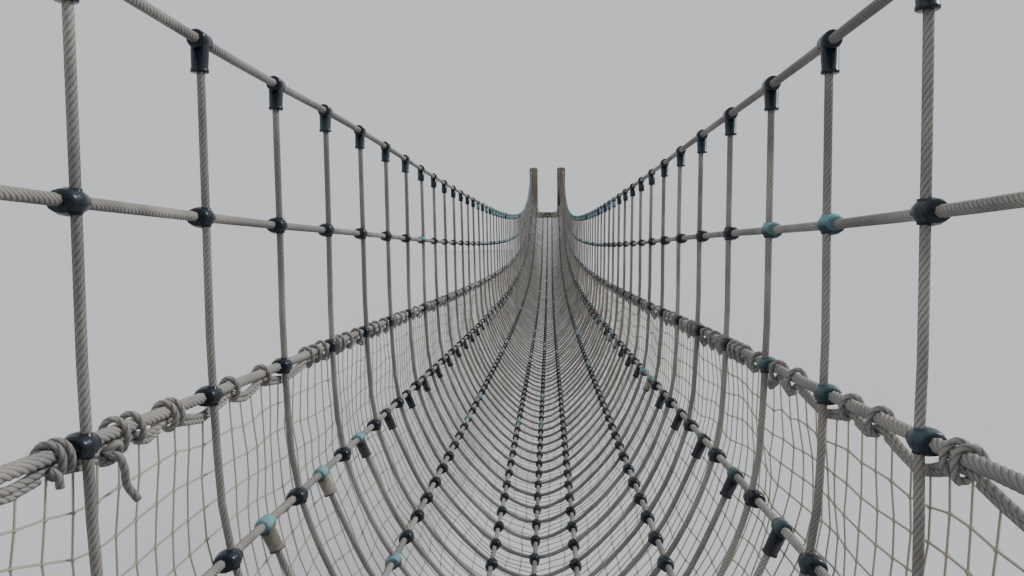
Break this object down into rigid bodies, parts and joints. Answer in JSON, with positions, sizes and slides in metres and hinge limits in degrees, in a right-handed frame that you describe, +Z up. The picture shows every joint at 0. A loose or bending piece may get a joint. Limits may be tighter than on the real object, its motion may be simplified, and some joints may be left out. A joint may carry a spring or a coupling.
{
  "type": "rope suspension footbridge",
  "caption": "Sagging rope trough for walking, with U-shaped hanger ropes crossing long ropes and a lashed handrail rope, slung between timber posts and sills.",
  "frame": {"origin": "centre of the near sill's underside, midway between the near posts", "axes": "+Y along the walk from the near posts to the far posts, +X to the walker's right, +Z up"},
  "size_m": [1.13, 30.12, 2.427],
  "materials": {
    "rope": "laid synthetic rope, taupe grey, bleached on its sunlit side",
    "handrail_rope": "thick laid rope with lashing, grey, weathered and fuzzy",
    "hanger_rope": "laid rope, grey brown, cream where the sun reaches it",
    "net_twine": "knotted twine netting, pale tan",
    "connector": "moulded black plastic rope connectors, some faded to blue grey",
    "timber": "sawn timber, weathered grey brown, with checks and damp stains",
    "steel": "dull galvanised eye bolts, plates and thimbles"
  },
  "bodies": {
    "root": {"left_top_rope": "rope", "left_handrail_rope": "handrail_rope", "left_floor_edge_rope": "rope", "right_top_rope": "rope", "right_handrail_rope": "handrail_rope", "right_floor_edge_rope": "rope", "centre_floor_rope": "rope", "left_upper_side_net_1": "hanger_rope", "left_upper_side_net_2": "hanger_rope", "left_upper_side_net_3": "hanger_rope", "left_lower_side_net_1": "hanger_rope", "left_lower_side_net_2": "hanger_rope", "left_lower_side_net_3": "hanger_rope", "left_floor_net_1": "hanger_rope", "left_floor_net_2": "hanger_rope", "left_floor_net_3": "hanger_rope", "left_floor_net_4": "hanger_rope", "left_floor_net_5": "hanger_rope", "left_floor_net_6": "hanger_rope", "right_upper_side_net_1": "hanger_rope", "right_upper_side_net_2": "hanger_rope", "right_upper_side_net_3": "hanger_rope", "right_lower_side_net_1": "hanger_rope", "right_lower_side_net_2": "hanger_rope", "right_lower_side_net_3": "hanger_rope", "right_floor_net_1": "hanger_rope", "right_floor_net_2": "hanger_rope", "right_floor_net_3": "hanger_rope", "right_floor_net_4": "hanger_rope", "right_floor_net_5": "hanger_rope", "right_floor_net_6": "hanger_rope", "near_left_post": "timber", "near_right_post": "timber", "near_sill": "timber", "far_left_post": "timber", "far_right_post": "timber", "far_sill": "timber"}
  },
  "joints": []
}
